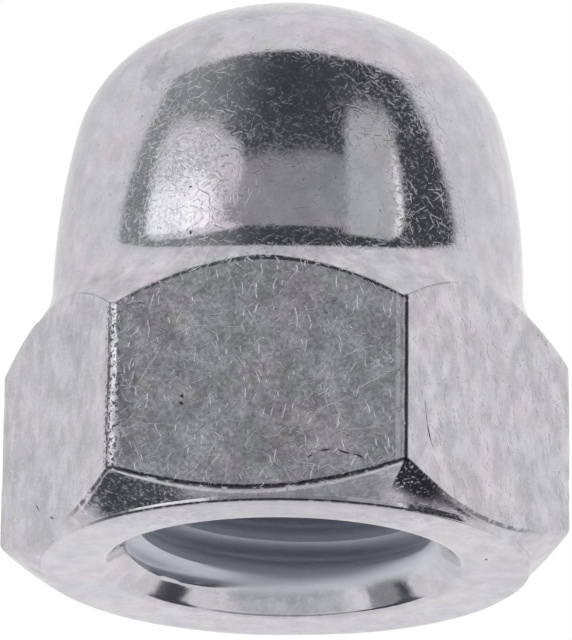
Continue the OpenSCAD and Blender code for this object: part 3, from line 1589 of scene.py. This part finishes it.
    def _colour(self, sheet: NodeSheet, at: Places, scuffs_and_highlight: Socket, soil: Socket) -> Socket:
        """Gives the plating's colour.

        Args:
            sheet: The sheet to write on.
            at: Where the point lies.
            scuffs_and_highlight: Mask of the scratches, the wear and the painted highlight on the
                front flat's edges.
            soil: Mask of the dirt, the pits and the darkening along the edges.

        Returns:
            The colour.
        """
        finish = self.finish
        broad = sheet.noise(at.place, 0.32, 3.0)
        hue = sheet.noise(at.place, 0.62, 3.0, 0.55)
        colour = sheet.mix(sheet.ramp(broad, 0.38, 0.62), finish.cool, finish.warm)
        tint = sheet.either(at.front, 0.3, 0.9)
        colour = sheet.mix(sheet.product(sheet.ramp(hue, 0.48, 0.62), tint), colour, finish.green)
        colour = sheet.mix(sheet.product(sheet.ramp(hue, 0.44, 0.34), tint), colour, finish.straw)
        ragged = sheet.ramp(at.fog, 0.3, 0.7, -0.5, 0.5)
        for stain in self.STAINS:
            mask = self._patch(sheet, at.place, stain, ragged)
            colour = sheet.mix(sheet.product(mask, stain.strength), colour, stain.colour)
        colour = sheet.scaled(colour, self._shade(sheet, at))
        # Scratches, worn plating and the painted highlight on the front flat's edges are mixed
        # towards the pale colour.
        clear = sheet.product(scuffs_and_highlight, sheet.either(at.front, 0.5, 0.85))
        colour = sheet.mix(clear, colour, finish.bare_and_highlight)
        colour = sheet.mix(soil, colour, finish.soil)
        # Painted shade: a soft darker band where the countersink turns into the thread, from 0.62
        # mm deep.
        hole_shade = sheet.product(
            sheet.ramp(at.z, 0.62, 1.15),
            sheet.ramp(at.radius, 7.3, 7.1),
            sheet.ramp(at.fog, 0.3, 0.6),
            0.6,
        )
        colour = sheet.mix(hole_shade, colour, finish.hole_shade)
        return sheet.mix(at.bore, colour, finish.bore)

    def _roughness(self, sheet: NodeSheet, at: Places, scuffs_and_highlight: Socket, soil: Socket) -> Socket:
        """Gives the plating's roughness.

        Args:
            sheet: The sheet to write on.
            at: Where the point lies.
            scuffs_and_highlight: Mask of the scratches, the wear and the painted highlight on the
                front flat's edges.
            soil: Mask of the dirt, the pits and the darkening along the edges.

        Returns:
            The roughness.
        """
        finish = self.finish
        uneven = sheet.either(at.mouth, 1.0, 0.15)
        return sheet.total(
            sheet.ramp(at.blotch, 0.35, 0.65, finish.smooth, finish.cloudy),
            sheet.product(sheet.ramp(at.grain, 0.45, 0.72, 0.0, finish.grainy), uneven),
            sheet.product(sheet.ramp(at.fog, 0.5, 0.72, 0.0, finish.foggy), uneven),
            sheet.product(scuffs_and_highlight, finish.scuffed),
            sheet.product(soil, finish.soiled),
            sheet.product(at.bore, finish.tapped),
        )

    def _relief(self, sheet: NodeSheet, at: Places, fine: Socket) -> Socket:
        """Gives the surface's normal, from a relief in millimetres.

        Args:
            sheet: The sheet to write on.
            at: Where the point lies.
            fine: Mask of the scratches that are cut into the plating.

        Returns:
            The normal.
        """
        finish = self.finish
        bump = sheet.node("ShaderNodeBump")
        bump.inputs["Distance"].default_value = MM
        height = sheet.total(
            sheet.product(fine, -finish.scratch_depth),
            sheet.product(at.wave, finish.ripple),
            sheet.product(sheet.noise(at.place, 2.4, 1.0), finish.shiver),
            sheet.product(at.grain, sheet.either(at.frosted, finish.grit, finish.frost)),
        )
        sheet.feed(bump.inputs["Height"], height)
        return bump.outputs[0]

    def build(self) -> bpy.types.Material:
        """Makes the material.

        Returns:
            The material.
        """
        material = bpy.data.materials.new("worn zinc plating")
        material.use_nodes = True
        sheet = NodeSheet(material.node_tree)
        at = self._places(sheet)
        fine, lines = self._scuffs(sheet, at)
        bright = self._marks(sheet, at.uneven, MarkKind.BRIGHT)
        # Scratches, bright marks, worn plating and the painted highlight on the front flat's edges.
        scuffs_and_highlight = sheet.greatest(lines, bright, self._worn_and_highlit_edges(sheet, at))
        pits = sheet.group(self.pits, Place=at.place, Scale=2.6, Radius=0.05, Share=0.22)
        clear = sheet.either(sheet.greatest(at.mouth, at.bore), 1.0, 0.1)
        dark = self._marks(sheet, at.uneven, MarkKind.DARK)
        soil = sheet.greatest(sheet.product(pits, clear, 0.6), dark, self._edge_darkening(sheet, at))
        shader = material.node_tree.nodes["Principled BSDF"]
        shader.inputs["Metallic"].default_value = 1.0
        sheet.feed(shader.inputs["Base Color"], self._colour(sheet, at, scuffs_and_highlight, soil))
        sheet.feed(shader.inputs["Roughness"], self._roughness(sheet, at, scuffs_and_highlight, soil))
        sheet.feed(shader.inputs["Normal"], self._relief(sheet, at, fine))
        return material


# ---------------------------------------------------------------------------
# Studio
# ---------------------------------------------------------------------------


@dataclass(frozen=True)
class Panel:
    """A card or a lit window that stands round the nut.

    Azimuth 0 is the side that the front flat faces and 90 is +X. Angles are in
    degrees, and a colour is the light that the panel sends to the nut. A panel
    within another is cut off at that one's edge.
    """

    azimuth: float
    elevation: float
    half_width: float
    half_height: float
    colour: Colour
    edge: float = 0.08
    corner: float = 4.0
    within: str = ""


class Studio:
    """The light tent, the floor and the camera."""

    WHITE: Colour = (1.0, 1.0, 1.0)
    TENT: Colour = (0.965, 0.945, 0.965)
    PANELS: dict[str, Panel] = {
        "dull wall behind": Panel(-145.0, 20.0, 20.0, 38.0, (0.84, 0.83, 0.85), 0.3, 3.0),
        "shelf underneath": Panel(0.0, -74.0, 75.0, 13.0, (0.72, 0.71, 0.76), 0.15, 4.0),
        "dark room": Panel(5.0, 5.0, 92.5, 61.5, (0.075, 0.08, 0.097), 0.025, 2.05),
        "grey wall": Panel(-82.0, 46.0, 54.0, 36.0, (0.38, 0.39, 0.39), 0.5, 2.2, "dark room"),
        "grey table": Panel(8.0, 10.0, 36.0, 21.0, (0.42, 0.415, 0.44), 0.06, 4.0),
        "left window": Panel(-46.0, 26.0, 22.0, 11.0, (0.95, 0.93, 0.96), 0.06, 3.0),
        "left window's side": Panel(-31.0, 28.0, 14.0, 6.5, (0.88, 0.86, 0.89), 0.08, 2.5),
        "left window's foot": Panel(-49.0, 13.0, 19.5, 14.0, (1.5, 1.47, 1.5), 0.08, 4.0),
        "right window": Panel(49.5, 20.0, 14.5, 20.0, (0.67, 0.67, 0.68), 0.035, 6.0),
        "right window's frame": Panel(61.8, 12.0, 2.0, 19.0, (1.25, 1.25, 1.25), 0.4, 4.0),
        "bench underneath": Panel(180.0, -80.0, 75.0, 14.0, (0.44, 0.435, 0.47), 0.2, 8.0),
        "left foot of the stand": Panel(-117.0, -53.0, 14.0, 14.0, (0.09, 0.1, 0.115), 0.15, 4.0),
        "left foot's side": Panel(-96.0, -51.0, 9.5, 8.0, (0.38, 0.38, 0.39), 0.12, 6.0),
        "right foot of the stand": Panel(122.0, -51.0, 16.0, 11.0, (0.1, 0.1, 0.12), 0.22, 4.0),
    }
    FLOOR: Colour = (0.86, 0.86, 0.87)
    FLOOR_STEPS = 96
    FLOOR_RADIUS = 1.0
    FLOOR_HOLE = 0.97

    def build(self, face_radius: float) -> None:
        """Makes the world, the floor and the camera.

        Args:
            face_radius: Radius of the nut's bearing face.
        """
        self._world()
        self._floor(face_radius)
        Viewpoint().build()
        bpy.context.scene.view_settings.view_transform = "Standard"

    @staticmethod
    def _panel_group() -> bpy.types.NodeTree:
        """Makes the group that masks a panel.

        The distances from the panel's middle, in half widths and half heights,
        are raised to the corner's power and added. The sum's root is 1 on the
        panel's edge, and the mask falls from 1 to 0 across it.

        Returns:
            The group.
        """
        direction = ("Azimuth", "Elevation")
        panel = ("Middle", "Height", "Half width", "Half height", "Edge", "Corner")
        inputs = dict.fromkeys((*direction, *panel), "Float")
        sheet, given, result = new_group("panel mask", inputs)
        get = given.outputs
        turned = sheet.math("SUBTRACT", get["Azimuth"], get["Middle"])
        turned = sheet.math("WRAP", turned, 180.0, -180.0)
        risen = sheet.math("SUBTRACT", get["Elevation"], get["Height"])
        across = sheet.math("DIVIDE", sheet.math("ABSOLUTE", turned), get["Half width"])
        along = sheet.math("DIVIDE", sheet.math("ABSOLUTE", risen), get["Half height"])
        powers = [sheet.math("POWER", share, get["Corner"]) for share in (across, along)]
        root = sheet.math("DIVIDE", 1.0, get["Corner"])
        reach = sheet.math("POWER", sheet.total(*powers), root)
        inner = sheet.math("SUBTRACT", 1.0, get["Edge"])
        outer = sheet.math("ADD", 1.0, get["Edge"])
        sheet.feed(result, sheet.fade(reach, inner, outer))
        return sheet.tree

    def _world(self) -> None:
        """Makes the tent with its panels, which the camera itself sees as white."""
        world = bpy.data.worlds.new("studio")
        world.use_nodes = True
        bpy.context.scene.world = world
        sheet = NodeSheet(world.node_tree)
        x, y, z = sheet.parts(sheet.node("ShaderNodeTexCoord").outputs["Generated"])
        azimuth = sheet.math("DEGREES", sheet.math("ARCTAN2", x, sheet.product(y, -1.0)))
        elevation = sheet.math("DEGREES", sheet.math("ARCSINE", z))
        group = self._panel_group()
        colour: object = self.TENT
        masks: dict[str, Socket] = {}
        for name, panel in self.PANELS.items():
            mask = sheet.group(
                group,
                Azimuth=azimuth,
                Elevation=elevation,
                Middle=panel.azimuth,
                Height=panel.elevation,
                Half_width=panel.half_width,
                Half_height=panel.half_height,
                Edge=panel.edge,
                Corner=panel.corner,
            )
            mask.node.label = name
            if panel.within:
                mask = sheet.product(mask, masks[panel.within])
            masks[name] = mask
            colour = sheet.mix(mask, colour, panel.colour)
        sees = sheet.node("ShaderNodeLightPath").outputs["Is Camera Ray"]
        background = world.node_tree.nodes["Background"]
        sheet.feed(background.inputs["Color"], sheet.mix(sees, colour, self.WHITE))

    def _floor(self, face_radius: float) -> None:
        """Makes the floor, a ring between two circles, whose hole is under the nut.

        Args:
            face_radius: Radius of the nut's bearing face.
        """
        here = np.arange(self.FLOOR_STEPS)
        after = (here + 1) % self.FLOOR_STEPS
        angles = here / self.FLOOR_STEPS * 2.0 * np.pi
        circle = np.stack([np.cos(angles), np.sin(angles), 0.0 * angles], axis=1)
        rings = (self.FLOOR_HOLE * face_radius * circle, self.FLOOR_RADIUS * circle)
        corners = (here, here + self.FLOOR_STEPS, after + self.FLOOR_STEPS, after)
        mesh = bpy.data.meshes.new("floor")
        mesh.from_pydata(np.concatenate(rings).tolist(), [], np.stack(corners, axis=1).tolist())
        mesh.materials.append(self._floor_paint())
        floor = bpy.data.objects.new("floor", mesh)
        bpy.context.scene.collection.objects.link(floor)

    def _floor_paint(self) -> bpy.types.Material:
        """Makes the floor's material, which shows to the camera from above alone.

        Seen from below it is clear, and the metal reflects the tent through it.

        Returns:
            The material.
        """
        material = bpy.data.materials.new("pale floor")
        material.use_nodes = True
        material.node_tree.nodes.clear()
        sheet = NodeSheet(material.node_tree)
        paint = sheet.node("ShaderNodeBsdfDiffuse")
        sheet.feed(paint.inputs["Color"], self.FLOOR)
        clear = sheet.node("ShaderNodeBsdfTransparent")
        back = sheet.node("ShaderNodeNewGeometry").outputs["Backfacing"]
        sees = sheet.node("ShaderNodeLightPath").outputs["Is Camera Ray"]
        mixed = sheet.node("ShaderNodeMixShader")
        sheet.feed(mixed.inputs[0], sheet.product(sees, sheet.math("SUBTRACT", 1.0, back)))
        sheet.feed(mixed.inputs[1], clear.outputs[0])
        sheet.feed(mixed.inputs[2], paint.outputs[0])
        sheet.feed(sheet.node("ShaderNodeOutputMaterial").inputs["Surface"], mixed.outputs[0])
        return material


@dataclass(frozen=True)
class Viewpoint:
    """Where the camera stands, as turns of the nut seen from it.

    The lens and the sensor are in millimetres.
    """

    swing: float = math.radians(-6.33)
    pitch: float = math.radians(18.46)
    roll: float = math.radians(-0.68)
    aside: float = -0.12 * MM
    above: float = -10.51 * MM
    distance: float = 243.5 * MM
    lens: float = 325.4
    sensor: float = 36.0
    nearest: float = 0.01

    def build(self) -> None:
        """Makes the camera.

        The nut is turned by the swing about its axis, pitched about the view's
        level line and rolled about the line of sight. The camera's axes are the
        rows of those turns, and its place undoes the nut's offset from it.
        """
        turn = np.array(Matrix.Rotation(self.swing, 3, "Z"))
        sine, cosine = math.sin(self.pitch), math.cos(self.pitch)
        tilt = np.array([[1.0, 0.0, 0.0], [0.0, -sine, cosine], [0.0, cosine, sine]])
        roll = np.array(Matrix.Rotation(self.roll, 3, "Z"))
        rows = roll @ tilt @ turn
        place = -rows.T @ np.array([self.aside, self.above, self.distance])
        data = bpy.data.cameras.new("camera")
        data.sensor_fit = "VERTICAL"
        data.sensor_height = self.sensor
        data.lens = self.lens
        data.clip_start = self.nearest
        camera = bpy.data.objects.new("camera", data)
        axes = Matrix((rows[0], rows[1], -rows[2])).transposed()
        camera.matrix_world = Matrix.Translation(Vector(place)) @ axes.to_4x4()
        bpy.context.scene.collection.objects.link(camera)
        bpy.context.scene.camera = camera


def main() -> None:
    """Builds the nut, its studio and its camera."""
    logging.basicConfig(level=logging.INFO, format="%(message)s")
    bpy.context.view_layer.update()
    sizes = NutSizes.from_frame()
    piece = CapNut(sizes, Wear()).build()
    LOG.info("%s: %d faces", piece.name, len(piece.data.polygons))
    Studio().build(sizes.face_radius)


if __name__ == "__main__":
    main()
